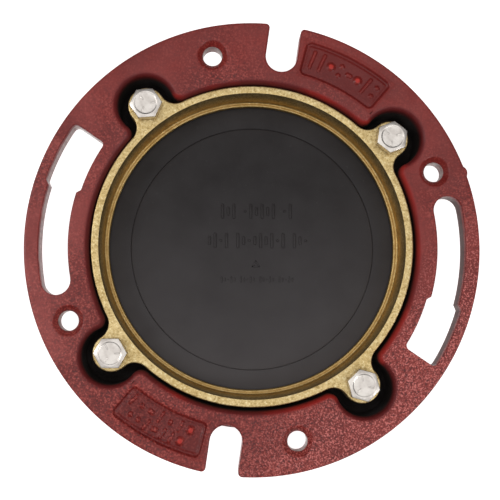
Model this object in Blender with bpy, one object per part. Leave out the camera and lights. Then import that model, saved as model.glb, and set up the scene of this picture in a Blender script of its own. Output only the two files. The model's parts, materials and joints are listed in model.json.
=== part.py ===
"""A no-caulk closet flange: an iron floor plate on a hub, and a rubber gasket under a bolted brass ring.

Metres, +Z up. The origin is on the pipe's axis, at the bottom of the hub.
"""

import math

import bmesh
import bpy
from mathutils import Vector

MM = 0.001
GAP = 0.3 * MM  # between solids that touch

# The plate and the hub below it
TOP = 50.0 * MM
PLATE_RADIUS = 88.9 * MM
PLATE_THICKNESS = 8.5 * MM
HUB_RADIUS = 69.0 * MM
HUB_FOOT_RADIUS = 67.4 * MM
SOCKET_RADIUS = 64.2 * MM
SOCKET_FLOOR = 6.0 * MM
PIPE_HOLE_RADIUS = 58.8 * MM
MOUTH_ROUND = 2.4 * MM

# What is cut through the plate. Angles are counted from +X, anticlockwise from above.
SLOT_RADIUS = 77.7 * MM
SLOT_WIDE_HALF = 7.1 * MM
SLOT_NARROW_HALF = 5.6 * MM
SLOT_WIDE_END = 145.9
SLOT_STEP = 163.3
SLOT_NARROW_END = 194.5
NOTCH_ANGLE = 81.8
NOTCH_HALF = 6.25 * MM
NOTCH_CENTRE_RADIUS = 76.2 * MM
SCREW_RADIUS = 77.3 * MM
SCREW_ANGLES = (22.4, 102.4, 202.4, 282.4)
SCREW_HOLE_RADIUS = 3.8 * MM
SCREW_SINK_RADIUS = 6.0 * MM
SCREW_SINK_DEPTH = 2.4 * MM
PLAQUE_ANGLES = (49.5, 75.5)
PLAQUE_RADII = (70.6 * MM, 84.4 * MM)
PLAQUE_DEPTH = 0.6 * MM

# The four bolts, the ears that they clamp and the lugs that they screw into. The ring and its bolts
# lie a little off the socket's centre, by RING_SHIFT.
RING_SHIFT = (-0.35 * MM, 0.45 * MM)
BOLT_CIRCLE = 69.0 * MM
BOLT_ANGLES = (37.7, 127.7, 217.7, 307.7)
BOLT_RADIUS = 3.175 * MM
BOLT_LENGTH = 25.4 * MM
HEAD_ACROSS_FLATS = 11.1 * MM
HEAD_HEIGHT = 4.2 * MM
POCKET_CIRCLE = 69.9 * MM
POCKET_RADIUS = 11.2 * MM
POCKET_NOSE = 3.7 * MM
POCKET_FLOOR = 34.0 * MM
LUG_RADIUS = 14.0 * MM
LUG_FOOT = 15.0 * MM
EAR_RADIUS = 7.25 * MM
EAR_FILLET = 6.2 * MM
EAR_THICKNESS = 8.5 * MM

# The brass compression ring
RING_TOP = TOP - 1.8 * MM
RING_OUTER = 63.2 * MM
RING_INNER_TOP = 60.15 * MM
RING_COVE_FOOT = 59.2 * MM
RING_INNER = 57.2 * MM
LIP_TOP = 38.4 * MM
RING_FOOT = 36.2 * MM

# The rubber gasket, whose top closes the pipe as a knock-out test cap
GASKET_TOP = RING_FOOT - GAP
GASKET_OUTER = SOCKET_RADIUS - GAP
GASKET_INNER = 56.6 * MM
GASKET_CHAMFER = 3.0 * MM
SHELF_THICKNESS = 3.4 * MM
CAP_RADIUS = 49.0 * MM
CAP_THICKNESS = 3.0 * MM

TURN_STEPS = 72
CUT_ABOVE = TOP + 5 * MM  # how high the cutters reach
EAR_ROOT = 1.5 * MM  # how far an ear's or a pocket's outline goes on inside the circle it joins


def clear_scene():
    for obj in list(bpy.data.objects):
        bpy.data.objects.remove(obj, do_unlink=True)


def make_material(name, colour, roughness, metallic):
    material = bpy.data.materials.new(name)
    material.use_nodes = True
    shader = material.node_tree.nodes["Principled BSDF"]
    shader.inputs["Base Color"].default_value = (*colour, 1.0)
    shader.inputs["Roughness"].default_value = roughness
    shader.inputs["Metallic"].default_value = metallic
    return material


def polar(radius, degrees):
    angle = math.radians(degrees)
    return Vector((radius * math.cos(angle), radius * math.sin(angle)))


def arc(centre, radius, start, end, steps):
    """Points on an arc about a centre, from one angle to another, both ends included."""
    return [Vector(centre) + polar(radius, start + (end - start) * i / steps) for i in range(steps + 1)]


def rounded(corners, steps=3):
    """An outline whose (x, y, radius) corners become arcs wherever their radius is above zero."""
    points = []
    for i, (x, y, radius) in enumerate(corners):
        here = Vector((x, y))
        if radius == 0:
            points.append(here)
            continue
        before = (Vector(corners[i - 1][:2]) - here).normalized()
        after = (Vector(corners[(i + 1) % len(corners)][:2]) - here).normalized()
        half = before.angle(after) / 2
        centre = here + (before + after).normalized() * radius / math.sin(half)
        first = here + before * radius / math.tan(half) - centre
        last = here + after * radius / math.tan(half) - centre
        for k in range(steps + 1):
            points.append(centre + first.slerp(last, k / steps) * radius)
    return points


def new_object(name, mesh_data, material=None):
    obj = bpy.data.objects.new(name, mesh_data)
    bpy.context.scene.collection.objects.link(obj)
    if material:
        mesh_data.materials.append(material)
    return obj


def finish_mesh(bm, name):
    bmesh.ops.recalc_face_normals(bm, faces=bm.faces)
    mesh_data = bpy.data.meshes.new(name)
    bm.to_mesh(mesh_data)
    bm.free()
    mesh_data.shade_smooth()
    mesh_data.set_sharp_from_angle(angle=math.radians(35))
    return mesh_data


def turned(name, outline, steps=TURN_STEPS):
    """A mesh that turns a closed (radius, height) outline about the Z axis."""
    bm = bmesh.new()
    rows = []
    for i in range(steps):
        angle = 2 * math.pi * i / steps
        rows.append([bm.verts.new((r * math.cos(angle), r * math.sin(angle), z)) for r, z in outline])
    count = len(outline)
    for i in range(steps):
        here, after = rows[i], rows[(i + 1) % steps]
        for k in range(count):
            bm.faces.new((here[k], after[k], after[(k + 1) % count], here[(k + 1) % count]))
    return finish_mesh(bm, name)


def stacked(name, layers):
    """A mesh through (outline, height) layers of equally many points, closed with a flat face at each end."""
    bm = bmesh.new()
    rows = [[bm.verts.new((x, y, height)) for x, y in outline] for outline, height in layers]
    count = len(rows[0])
    for low, high in zip(rows, rows[1:]):
        for i in range(count):
            bm.faces.new((low[i], low[(i + 1) % count], high[(i + 1) % count], high[i]))
    bm.faces.new(rows[0])
    bm.faces.new(rows[-1])
    return finish_mesh(bm, name)


def extruded(name, outline, low, high):
    return stacked(name, [(outline, low), (outline, high)])


def lathed_pin(name, outline, steps):
    """A mesh that turns an open (radius, height) outline about Z, closed with a flat disc at each end."""
    return stacked(name, [([polar(r, 360 * i / steps) for i in range(steps)], z) for r, z in outline])


def boolean(target, operation, mesh_data, location=(0, 0, 0)):
    """Adds or cuts a helper shape, which stays in the scene as a hidden wire."""
    helper = new_object(f"{target.name}_{operation.lower()}_{mesh_data.name}", mesh_data)
    helper.location = location
    helper.hide_render = True
    helper.display_type = "WIRE"
    modifier = target.modifiers.new(f"{operation.lower()} {mesh_data.name}", "BOOLEAN")
    modifier.operation = operation
    modifier.solver = "EXACT"
    modifier.object = helper


def slot_outline(turn):
    """A curved keyhole: a wide, square-ended stretch and a narrow one with a round end."""
    wide_inner = SLOT_RADIUS - SLOT_WIDE_HALF
    wide_outer = SLOT_RADIUS + SLOT_WIDE_HALF
    narrow_inner = SLOT_RADIUS - SLOT_NARROW_HALF
    narrow_outer = SLOT_RADIUS + SLOT_NARROW_HALF
    corner = 1.5
    half_end = math.degrees(SLOT_NARROW_HALF / SLOT_RADIUS)
    end = SLOT_NARROW_END - half_end + turn
    wide = SLOT_WIDE_END + turn
    step = SLOT_STEP + turn
    points = arc((0, 0), wide_outer, step - 0.8, wide + corner, 6)
    points += [polar(wide_outer - 0.6 * MM, wide + 0.4), polar(wide_outer - 1.8 * MM, wide)]
    points += [polar(wide_inner + 1.8 * MM, wide), polar(wide_inner + 0.6 * MM, wide + 0.4)]
    points += arc((0, 0), wide_inner, wide + corner, step - 0.8, 6)
    points += arc((0, 0), narrow_inner, step + 0.5, end, 9)
    points += arc(polar(SLOT_RADIUS, end), SLOT_NARROW_HALF, end + 180, end, 8)[1:-1]
    points += arc((0, 0), narrow_outer, end, step + 0.5, 9)
    return points


def notch_outline(angle):
    """A U that is open at the rim, with its corners rounded where they meet the rim."""
    reach = PLATE_RADIUS + 4 * MM
    shoulder = PLATE_RADIUS - 1.2 * MM
    flare = NOTCH_HALF + 4 * MM
    side = [(reach, -flare), (shoulder + 2 * MM, -NOTCH_HALF - 1.8 * MM), (shoulder, -NOTCH_HALF - 0.5 * MM)]
    side.append((shoulder - 1.4 * MM, -NOTCH_HALF))
    end = [(p.x, p.y) for p in arc((NOTCH_CENTRE_RADIUS, 0), NOTCH_HALF, 270, 90, 12)]
    outline = side + end + [(x, -y) for x, y in reversed(side)]
    turn = math.radians(angle)
    turned_x, turned_y = Vector((math.cos(turn), math.sin(turn))), Vector((-math.sin(turn), math.cos(turn)))
    return [x * turned_x + y * turned_y for x, y in outline]


def plaque_outline(turn):
    start, end = (angle + turn for angle in PLAQUE_ANGLES)
    inner, outer = PLAQUE_RADII
    return arc((0, 0), outer, start, end, 6) + arc((0, 0), inner, end, start, 6)


def heading(vector):
    return math.degrees(math.atan2(vector.y, vector.x))


def eared_outline(radius, ear_circle, ear_radius, fillet, degrees):
    """A round ear that two fillets join to a circle, closed by an arc just inside that circle."""
    reach = radius + fillet
    joined = ear_radius + fillet
    spread = math.degrees(math.acos((reach**2 + ear_circle**2 - joined**2) / (2 * reach * ear_circle)))
    centre = polar(ear_circle, degrees)
    before = polar(reach, degrees - spread)
    after = polar(reach, degrees + spread)
    start = heading(before - centre)
    end = start + (heading(after - centre) - start) % 360
    sweep = (degrees - spread - start) % 360
    points = arc(before, fillet, degrees - spread + 180, degrees - spread + 180 - sweep, 4)
    points += arc(centre, ear_radius, start, end, 16)[1:-1]
    points += arc(after, fillet, end + 180, end + 180 - sweep, 4)
    return points + arc((0, 0), radius - EAR_ROOT, degrees + spread, degrees - spread, 8)


def bolt_place(degrees):
    return polar(BOLT_CIRCLE, degrees) + Vector(RING_SHIFT)


def pocket_mesh(name, degrees):
    """What a bolt's pocket takes out of the plate, widening with the mouth's rounded edge."""
    layers = [(0, POCKET_FLOOR), (0, TOP - MOUTH_ROUND)]
    for k in range(1, 4):
        turn = math.radians(30 * k)
        layers.append((MOUTH_ROUND * (1 - math.cos(turn)), TOP - MOUTH_ROUND * (1 - math.sin(turn))))
    layers.append((MOUTH_ROUND, CUT_ABOVE))
    rows = []
    for wider, height in layers:
        radii = (SOCKET_RADIUS + wider, POCKET_CIRCLE, POCKET_RADIUS + wider, POCKET_NOSE - wider)
        rows.append((eared_outline(*radii, degrees), height))
    return stacked(name, rows)


def make_body(material):
    underside = TOP - PLATE_THICKNESS
    foot_edge = [(HUB_FOOT_RADIUS - 1.0 * MM, 0), (HUB_FOOT_RADIUS, 1.0 * MM)]
    fillet = [(p.x, p.y) for p in arc((HUB_RADIUS + MM, underside - MM), MM, 180, 90, 3)]
    low_rim = [(p.x, p.y) for p in arc((PLATE_RADIUS - MM, underside + MM), MM, 270, 360, 3)]
    high_rim = [(p.x, p.y) for p in arc((PLATE_RADIUS - MM, TOP - MM), MM, 0, 90, 3)]
    outside = foot_edge + fillet + low_rim + high_rim
    body = new_object("flange_body", lathed_pin("flange_body", outside, TURN_STEPS), material)
    for i, angle in enumerate(BOLT_ANGLES):
        lug = [(LUG_RADIUS - 1.5 * MM, LUG_FOOT), (LUG_RADIUS, LUG_FOOT + 1.5 * MM)]
        lug.append((LUG_RADIUS, underside + MM))
        lug_mesh = lathed_pin(f"lug_{i + 1}", lug, 32)
        boolean(body, "UNION", lug_mesh, (*polar(POCKET_CIRCLE, angle), 0))
    mouth = arc((SOCKET_RADIUS + MOUTH_ROUND, TOP - MOUTH_ROUND), MOUTH_ROUND, 180, 90, 3)
    socket = [(PIPE_HOLE_RADIUS, -MM), (PIPE_HOLE_RADIUS, SOCKET_FLOOR), (SOCKET_RADIUS, SOCKET_FLOOR)]
    socket += [(p.x, p.y) for p in mouth] + [(SOCKET_RADIUS + MOUTH_ROUND, CUT_ABOVE)]
    boolean(body, "DIFFERENCE", lathed_pin("socket", socket, TURN_STEPS))
    for i, angle in enumerate(BOLT_ANGLES):
        boolean(body, "DIFFERENCE", pocket_mesh(f"pocket_{i + 1}", angle))
        hole = [(BOLT_RADIUS + GAP, LUG_FOOT - MM), (BOLT_RADIUS + GAP, POCKET_FLOOR + MM)]
        boolean(body, "DIFFERENCE", lathed_pin(f"bolt_hole_{i + 1}", hole, 16), (*bolt_place(angle), 0))
    for i, angle in enumerate(SCREW_ANGLES):
        hole = [
            (SCREW_HOLE_RADIUS, underside - MM),
            (SCREW_HOLE_RADIUS, TOP - SCREW_SINK_DEPTH),
            (SCREW_SINK_RADIUS, TOP),
            (SCREW_SINK_RADIUS, CUT_ABOVE),
        ]
        place = (*polar(SCREW_RADIUS, angle), 0)
        boolean(body, "DIFFERENCE", lathed_pin(f"screw_hole_{i + 1}", hole, 24), place)
    for i in range(2):
        side = i + 1
        slot = extruded(f"slot_{side}", slot_outline(180 * i), underside - MM, CUT_ABOVE)
        boolean(body, "DIFFERENCE", slot)
        notch = extruded(f"notch_{side}", notch_outline(NOTCH_ANGLE + 180 * i), underside - MM, CUT_ABOVE)
        boolean(body, "DIFFERENCE", notch)
        plaque = extruded(f"plaque_{side}", plaque_outline(180 * i), TOP - PLAQUE_DEPTH, CUT_ABOVE)
        boolean(body, "DIFFERENCE", plaque)
    return body


def make_ring(material):
    outline = rounded(
        [
            (RING_INNER, RING_FOOT, 0.5 * MM),
            (RING_OUTER, RING_FOOT, 0.5 * MM),
            (RING_OUTER, RING_TOP, 0.5 * MM),
            (RING_INNER_TOP, RING_TOP, 0.4 * MM),
            (RING_COVE_FOOT, LIP_TOP + 0.6 * MM, 0.3 * MM),
            (RING_INNER, LIP_TOP, 0.5 * MM),
        ],
        steps=2,
    )
    ring = new_object("compression_ring", turned("compression_ring", outline), material)
    ring.location = (*RING_SHIFT, 0)
    for i, angle in enumerate(BOLT_ANGLES):
        ear = eared_outline(RING_OUTER, BOLT_CIRCLE, EAR_RADIUS, EAR_FILLET, angle)
        ear_mesh = extruded(f"ear_{i + 1}", ear, RING_TOP - EAR_THICKNESS, RING_TOP)
        boolean(ring, "UNION", ear_mesh, ring.location)
        hole = [(BOLT_RADIUS + GAP, RING_FOOT - MM), (BOLT_RADIUS + GAP, RING_TOP + MM)]
        boolean(ring, "DIFFERENCE", lathed_pin(f"ear_hole_{i + 1}", hole, 16), (*bolt_place(angle), 0))
    return ring


def make_gasket(material):
    low = SOCKET_FLOOR + GAP
    outline = rounded(
        [
            (GASKET_OUTER - 1.0 * MM, low, 0),
            (GASKET_OUTER, low + GASKET_CHAMFER, 0),
            (GASKET_OUTER, GASKET_TOP, 0),
            (CAP_RADIUS + GAP, GASKET_TOP, 0),
            (CAP_RADIUS + GAP, GASKET_TOP - SHELF_THICKNESS, 0.8 * MM),
            (GASKET_INNER, GASKET_TOP - SHELF_THICKNESS, 0),
            (GASKET_INNER, low + GASKET_CHAMFER, 0),
            (GASKET_INNER + 1.2 * MM, low, 0),
        ]
    )
    return new_object("gasket", turned("gasket", outline), material)


def make_test_cap(material):
    low = GASKET_TOP - CAP_THICKNESS
    outline = [(CAP_RADIUS - 0.5 * MM, low), (CAP_RADIUS, low + 0.5 * MM), (CAP_RADIUS, GASKET_TOP)]
    return new_object("test_cap", lathed_pin("test_cap", outline, TURN_STEPS), material)


def bolt_mesh():
    """A hex bolt whose head sits on z = 0 and whose shank points down."""
    corner = HEAD_ACROSS_FLATS / math.sqrt(3)
    shank = [(BOLT_RADIUS - 0.7 * MM, -BOLT_LENGTH), (BOLT_RADIUS, -BOLT_LENGTH + 0.8 * MM)]
    shank.append((BOLT_RADIUS, HEAD_HEIGHT / 2))
    mesh_data = lathed_pin("bolt_shank", shank, 16)
    head_outline = [tuple(polar(corner, 60 * i)) for i in range(6)]
    head = extruded("bolt_head", head_outline, 0, HEAD_HEIGHT)
    return mesh_data, head


def make_bolts(material):
    """Each bolt hangs from an empty on its own axis, at the height where its head meets the ear."""
    shank, head = bolt_mesh()
    dome_radius = HEAD_ACROSS_FLATS / 2 + 0.9 * MM
    dome = [(dome_radius, -MM), (dome_radius, HEAD_HEIGHT - 1.0 * MM), (dome_radius - 1.7 * MM, HEAD_HEIGHT)]
    dome_mesh = lathed_pin("head_dome", dome, 32)
    for i, angle in enumerate(BOLT_ANGLES):
        seat = (*bolt_place(angle), RING_TOP + GAP)
        pivot = bpy.data.objects.new(f"bolt_{i + 1}_axis", None)
        bpy.context.scene.collection.objects.link(pivot)
        pivot.location = seat
        bolt = new_object(f"bolt_{i + 1}", head.copy(), material)
        bolt.parent = pivot
        boolean(bolt, "INTERSECT", dome_mesh, seat)
        boolean(bolt, "UNION", shank, seat)


def build():
    clear_scene()
    red_iron = make_material("red_iron", (0.25, 0.023, 0.020), 0.42, 0.0)
    brass = make_material("cast_brass", (0.70, 0.54, 0.26), 0.42, 1.0)
    rubber = make_material("black_rubber", (0.028, 0.026, 0.027), 0.6, 0.0)
    steel = make_material("stainless_steel", (0.72, 0.70, 0.68), 0.28, 1.0)
    make_body(red_iron)
    make_ring(brass)
    make_gasket(rubber)
    make_test_cap(rubber)
    make_bolts(steel)


build()
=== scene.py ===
"""Looks of the closet flange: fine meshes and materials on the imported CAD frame.

Metres, with +Z up the pipe's axis.
"""

import json
import math

import bmesh
import bpy
import numpy as np
from mathutils import Matrix, Vector, noise
from mathutils.geometry import delaunay_2d_cdt


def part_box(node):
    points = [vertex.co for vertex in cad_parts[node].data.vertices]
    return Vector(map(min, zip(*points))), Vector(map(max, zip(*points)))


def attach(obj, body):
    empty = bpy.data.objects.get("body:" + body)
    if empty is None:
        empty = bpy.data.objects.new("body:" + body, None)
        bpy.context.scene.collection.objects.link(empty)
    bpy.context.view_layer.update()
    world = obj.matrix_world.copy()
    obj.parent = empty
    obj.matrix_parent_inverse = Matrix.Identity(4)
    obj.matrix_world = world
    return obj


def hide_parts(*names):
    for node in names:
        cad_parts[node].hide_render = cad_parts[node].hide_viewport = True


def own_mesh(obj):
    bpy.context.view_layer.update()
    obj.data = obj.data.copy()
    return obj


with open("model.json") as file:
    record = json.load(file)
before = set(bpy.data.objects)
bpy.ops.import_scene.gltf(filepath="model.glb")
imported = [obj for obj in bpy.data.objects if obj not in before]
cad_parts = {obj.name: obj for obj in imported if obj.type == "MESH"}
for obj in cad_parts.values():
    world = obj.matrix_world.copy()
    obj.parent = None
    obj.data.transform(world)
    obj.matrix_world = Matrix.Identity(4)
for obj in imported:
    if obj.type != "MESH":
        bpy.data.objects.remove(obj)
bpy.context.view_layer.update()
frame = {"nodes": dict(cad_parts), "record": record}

MM = 0.001
WELD = 0.002 * MM

# ---------------------------------------------------------------- sizes, from the frame where it has them
BODY_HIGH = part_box("flange_body")[1]
RING_LOW, RING_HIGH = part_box("compression_ring")
GASKET_LOW, GASKET_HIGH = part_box("gasket")
CAP_LOW, CAP_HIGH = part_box("test_cap")
JOINTS = {joint["child"]: joint for joint in frame["record"]["behaviour"]["joints"]}
BOLTS = [name for name in sorted(frame["nodes"]) if name.startswith("bolt_")]
BOLT_SEATS = {name: Vector(JOINTS[name]["pos_m"]) for name in BOLTS}

TOP = BODY_HIGH[2]
PLATE_RADIUS = BODY_HIGH[0]
PLATE_THICKNESS = 8.5 * MM
UNDERSIDE = TOP - PLATE_THICKNESS
RIM_ROUND = 0.85 * MM
SLOT_ROUND = 0.55 * MM
PAINT_RUN = 2.8 * MM
HUB_RADIUS = 69.0 * MM
HUB_FOOT_RADIUS = 67.4 * MM
HUB_FILLET = 2.4 * MM
SOCKET_RADIUS = 64.2 * MM
SOCKET_FLOOR = 6.0 * MM
PIPE_HOLE_RADIUS = 58.8 * MM
MOUTH_ROUND = 2.4 * MM

RING_CENTRE = Vector([(low + high) / 2 for low, high in zip(RING_LOW, RING_HIGH)]).xy
BOLT_PLACES = [BOLT_SEATS[name].xy - RING_CENTRE for name in BOLTS]
BOLT_HOLES = [tuple(BOLT_SEATS[name].xy) for name in BOLTS]
BOLT_CIRCLE = BOLT_PLACES[0].length
BOLT_ANGLES = [math.degrees(math.atan2(place.y, place.x)) % 360 for place in BOLT_PLACES]
HOLE_RADIUS = 3.475 * MM
POCKET_CIRCLE = 69.9 * MM
POCKET_RADIUS = 11.2 * MM
POCKET_NOSE = 3.7 * MM
POCKET_FLOOR = 34.0 * MM
LUG_RADIUS = 14.0 * MM
LUG_FILLET = 5.0 * MM
LUG_FOOT = 15.0 * MM

SLOT_RADIUS = 77.7 * MM
SLOT_WIDE_HALF = 7.1 * MM
SLOT_NARROW_HALF = 5.6 * MM
SLOT_WIDE_END = 145.9
SLOT_STEP = 163.3
SLOT_NARROW_END = 194.5
NOTCH_ANGLE = 81.8
NOTCH_HALF = 6.25 * MM
NOTCH_CENTRE_RADIUS = 76.2 * MM
SCREW_RADIUS = 77.3 * MM
SCREW_ANGLES = (22.4, 102.4, 202.4, 282.4)
SCREW_HOLE_RADIUS = 3.8 * MM
SCREW_SINK_RADIUS = 5.8 * MM
SCREW_SINK_DEPTH = 2.4 * MM
PLAQUE_ANGLES = (49.5, 75.5)
PLAQUE_RADII = (70.6 * MM, 84.4 * MM)
PLAQUE_DEPTH = 0.6 * MM
PLAQUE_CORNER = 2.3 * MM
PLAQUE_MARGIN = 1.2 * MM
NUB_ANGLE = 19.5
NUB_HEIGHT = 0.9 * MM

RING_TOP = RING_HIGH[2]
RING_FOOT = RING_LOW[2]
RING_OUTER = 63.2 * MM
RING_INNER_TOP = 60.15 * MM
RING_INNER = 57.2 * MM
LIP_TOP = RING_FOOT + 2.2 * MM
COVE_CENTRE = 58.0 * MM
COVE_ROUND = 1.3 * MM
EAR_RADIUS = 7.25 * MM
EAR_FILLET = 6.2 * MM
EAR_FOOT = RING_TOP - 8.5 * MM

GASKET_TOP = GASKET_HIGH[2]
GASKET_OUTER = GASKET_HIGH[0]
GASKET_INNER = 56.6 * MM
SHELF_FOOT = GASKET_TOP - 3.4 * MM
CAP_RADIUS = CAP_HIGH[0]
KNIFE_GAP = 0.08 * MM

BOLT_RADIUS = 3.175 * MM
BOLT_PITCH = 1.27 * MM
BOLT_LENGTH = 25.4 * MM
HEAD_HALF_FLATS = 5.55 * MM
HEAD_HEIGHT = 4.2 * MM
HEAD_TURNS = {"bolt_1": 52.0, "bolt_2": 35.0, "bolt_3": 30.0, "bolt_4": 14.0}

# How many points go round each kind of circle
BOLT_POINTS = 32
SCREW_POINTS = 48
HEAD_POINTS = 144
RUBBER_POINTS = 240
PIPE_POINTS = 360
RING_POINTS = 400

# The iron body's materials, in their order on its mesh
PAINT, IRON, WELL, PANEL, SLOT_IRON = range(5)

# The kinds of raised mark on a plaque. First in mm: half its length along the row, its radius and its height.
# Then as shares of the row's reach: half its length across the row, and where its copies lie across the row.
MARKS = {
    "bar": (0.3, 0.62, 0.55, 1.0, (0,)),
    "block": (0.6, 0.95, 0.55, 0, (0,)),
    "button": (0, 1.90, 0.80, 0, (0,)),
    "pip": (0, 1.05, 0.60, 0, (0,)),
    "pair": (0, 1.00, 0.55, 0, (-0.62, 0.62)),
}

# Where the camera stands and looks, its sensor's width in mm, and its focal length over that width
CAMERA_AT = Vector((-15.8, -30.3, TOP / MM + 320.4)) * MM
CAMERA_TARGET = Vector((-1.74, -2.07, TOP / MM)) * MM
CAMERA_SENSOR = 36
CAMERA_REACH = 1.658

# The studio: how much light its world gives, how bright the world looks behind the part, the floor's side and
# how far it lies below the part's foot, and each lamp's place, side in metres and power in watts
WORLD_LIGHT = 0.12
WORLD_SEEN = 1.0
FLOOR_SIDE = 4
FLOOR_DROP = 0.2 * MM
LAMPS = {
    "overhead": ((0.0, 0.0, 1.0), 1.5, 6.9),
    "left_key": ((-0.80, 0.10, 0.75), 0.3, 2.4),
    "front_key": ((0.70, -0.50, 0.80), 0.3, 1.8),
}


# ---------------------------------------------------------------- outlines
def polar(radius, degrees):
    angle = np.radians(degrees)
    return np.stack([radius * np.cos(angle), radius * np.sin(angle)], axis=-1)


def arc(centre, radius, start, end, spacing=1.1 * MM, least=2):
    """Points on an arc, both ends included, about spacing apart."""
    steps = max(least, int(abs(math.radians(end - start)) * radius / spacing))
    return np.asarray(centre) + polar(radius, np.linspace(start, end, steps + 1))


def circle(radius, count, centre=(0, 0)):
    return np.asarray(centre) + polar(radius, np.arange(count) * 360 / count)


def plain(points):
    """Outline points that need no rounding, as (x, y, radius) corners."""
    return [(x, y, 0.0) for x, y in points]


def rounded(corners, steps=5):
    """An outline whose (x, y, radius) corners become arcs wherever their radius is above zero."""
    points = []
    for i, (x, y, radius) in enumerate(corners):
        here = Vector((x, y))
        if radius == 0:
            points.append(here)
            continue
        before = (Vector(corners[i - 1][:2]) - here).normalized()
        after = (Vector(corners[(i + 1) % len(corners)][:2]) - here).normalized()
        half = before.angle(after) / 2
        centre = here + (before + after).normalized() * radius / math.sin(half)
        first = here + before * radius / math.tan(half) - centre
        last = here + after * radius / math.tan(half) - centre
        for k in range(steps + 1):
            points.append(centre + first.slerp(last, k / steps) * radius)
    return np.array([tuple(p) for p in points])


def anticlockwise(loop):
    x, y = loop.T
    area = np.sum(x * np.roll(y, -1) - y * np.roll(x, -1))
    return loop if area > 0 else loop[::-1]


def outward(loop):
    """Unit normals that point out of an anticlockwise loop."""
    along = np.roll(loop, -1, axis=0) - np.roll(loop, 1, axis=0)
    normals = np.stack([along[:, 1], -along[:, 0]], axis=1)
    return normals / np.linalg.norm(normals, axis=1, keepdims=True)


def slot_outline(turn):
    """A curved keyhole: a wide, square-ended stretch and a narrow one with a round end."""
    wide_in, wide_out = SLOT_RADIUS - SLOT_WIDE_HALF, SLOT_RADIUS + SLOT_WIDE_HALF
    thin_in, thin_out = SLOT_RADIUS - SLOT_NARROW_HALF, SLOT_RADIUS + SLOT_NARROW_HALF
    end = SLOT_NARROW_END - math.degrees(SLOT_NARROW_HALF / SLOT_RADIUS) + turn
    wide, step = SLOT_WIDE_END + turn, SLOT_STEP + turn
    corners = plain(arc((0, 0), wide_out, step - 2.5, wide + 2.5))
    corners += [(*polar(wide_out, wide), 1.9 * MM), (*polar(wide_in, wide), 1.9 * MM)]
    corners += plain(arc((0, 0), wide_in, wide + 2.5, step - 2.5))
    corners += [(*polar(wide_in, step - 0.7), 0.6 * MM), (*polar(thin_in, step + 0.5), 0.6 * MM)]
    corners += plain(arc((0, 0), thin_in, step + 2.5, end))
    corners += plain(arc(polar(SLOT_RADIUS, end), SLOT_NARROW_HALF, end + 180, end)[1:-1])
    corners += plain(arc((0, 0), thin_out, end, step + 2.5))
    corners += [(*polar(thin_out, step + 0.5), 0.6 * MM), (*polar(wide_out, step - 0.7), 0.6 * MM)]
    return anticlockwise(rounded(corners))


def rim_outline():
    """The plate's rim, with a U-shaped notch cut in from each side."""
    half_width = math.degrees(math.asin(NOTCH_HALF / PLATE_RADIUS))
    corners = []
    for angle in (NOTCH_ANGLE, NOTCH_ANGLE + 180):
        centre = polar(NOTCH_CENTRE_RADIUS, angle)
        corners.append((*polar(PLATE_RADIUS, angle - half_width), 1.6 * MM))
        corners += plain(arc(centre, NOTCH_HALF, angle + 270, angle + 90))
        corners.append((*polar(PLATE_RADIUS, angle + half_width), 1.6 * MM))
        start, end = angle + half_width + 2.2, angle + 180 - half_width - 2.2
        rim = arc((0, 0), PLATE_RADIUS, start, end)
        degrees = np.linspace(start, end, len(rim)) % 360
        nub = 1 + NUB_HEIGHT / PLATE_RADIUS * np.exp(-(((degrees - NUB_ANGLE) / 0.9) ** 4))
        corners += plain(rim * nub[:, None])
    return anticlockwise(rounded(corners))


class EaredCircle:
    """A circle with a filleted round ear at each bolt, and the plain circle point by point beside it."""

    def __init__(self, radius, ear_circle, ear_radius, fillet, spacing=1.1 * MM):
        reach, joined = radius + fillet, ear_radius + fillet
        cosine = (reach**2 + ear_circle**2 - joined**2) / (2 * reach * ear_circle)
        spread = math.degrees(math.acos(cosine))
        eared, base = [], []
        self.ears = []
        for i, bolt in enumerate(BOLT_ANGLES):
            before = BOLT_ANGLES[i - 1] - (360 if i == 0 else 0)
            main = arc((0, 0), radius, before + spread, bolt - spread, spacing)[:-1]
            centre = polar(ear_circle, bolt)
            first, second = polar(reach, bolt - spread), polar(reach, bolt + spread)
            lean = math.degrees(math.atan2(*(first - centre)[::-1]))
            other = math.degrees(math.atan2(*(second - centre)[::-1]))
            into = (bolt - spread + 180 - (lean + 180)) % 360
            fillet_in = arc(first, fillet, bolt - spread + 180, bolt - spread + 180 - into, spacing / 2, 4)
            bulge = arc(centre, ear_radius, lean, lean + (other - lean) % 360, spacing / 1.6)
            fillet_out = arc(second, fillet, other + 180, other + 180 - into, spacing / 2, 4)
            ear = np.concatenate([fillet_in, bulge[1:-1], fillet_out])
            start = sum(map(len, eared)) + len(main)
            eared += [main, ear[:-1]]
            angles = np.linspace(bolt - spread, bolt + spread, len(ear))
            base += [main, polar(radius, angles)[:-1]]
            self.ears.append(np.arange(start, start + len(ear)))
        self.points = np.concatenate(eared)
        self.base = np.concatenate(base)
        self.normals = outward(self.points)
        self.ears = [ear % len(self.points) for ear in self.ears]
        self.apart = np.linalg.norm(self.points - self.base, axis=1, keepdims=True)


# ---------------------------------------------------------------- surfaces
def crossings(points, loops):
    """How often a ray to +X from each point crosses the loops."""
    count = np.zeros(len(points), int)
    for loop in loops:
        x0, y0 = loop.T
        x1, y1 = np.roll(loop, -1, axis=0).T
        for part in range(0, len(points), 2000):
            x, y = points[part : part + 2000, :1], points[part : part + 2000, 1:]
            spans = (y0 > y) != (y1 > y)
            height = np.where(y1 == y0, 1, y1 - y0)
            count[part : part + 2000] += (spans & (x < x0 + (y - y0) * (x1 - x0) / height)).sum(axis=1)
    return count


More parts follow.
